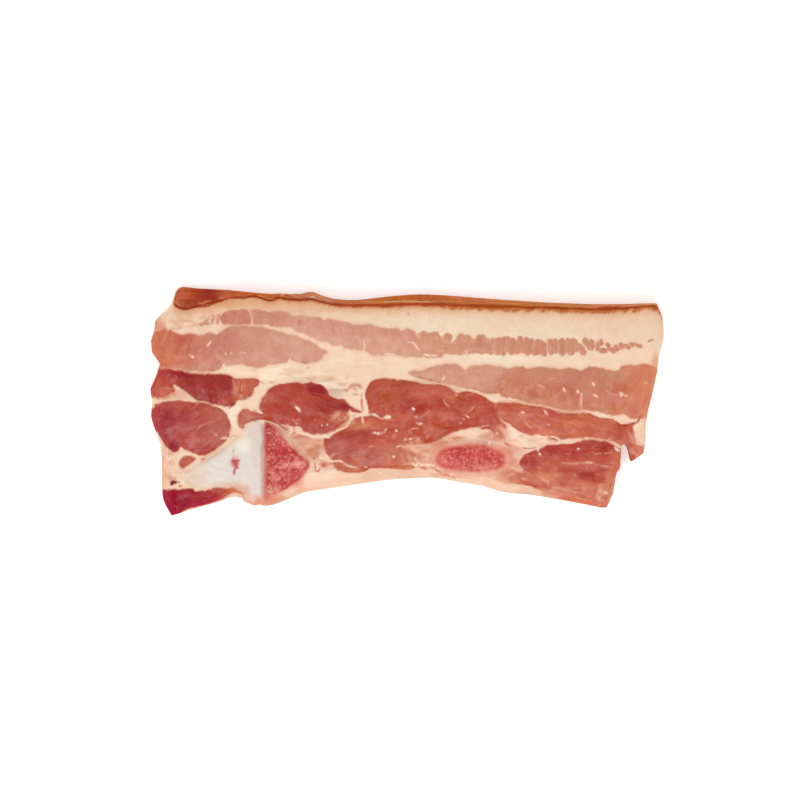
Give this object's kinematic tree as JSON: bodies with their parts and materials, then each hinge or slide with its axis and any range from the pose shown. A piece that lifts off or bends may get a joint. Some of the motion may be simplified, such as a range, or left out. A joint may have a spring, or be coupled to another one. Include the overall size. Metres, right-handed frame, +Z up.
{
  "type": "pork belly rasher",
  "caption": "Thick rasher of smoked, bone-in pork belly: layered lean and fat, brown rind along one long edge, cut rib and cartilage along the other.",
  "frame": {"origin": "on the board, under the middle of the slice", "axes": "+X along the slice, towards the end with the torn flap; +Y across it, towards the rind; +Z up, out of the upper cut face"},
  "size_m": [0.14, 0.0624, 0.0143],
  "materials": {
    "belly_meat": "moist cut meat and fat",
    "rib_cartilage": "pearly cut cartilage",
    "rib_end": "cut spongy bone, red with marrow",
    "rib_section": "cut rib, pale rim and red marrow"
  },
  "bodies": {
    "root": {"belly_meat": "belly_meat", "rib_cartilage": "rib_cartilage", "rib_end": "rib_end", "rib_section": "rib_section"}
  },
  "joints": []
}
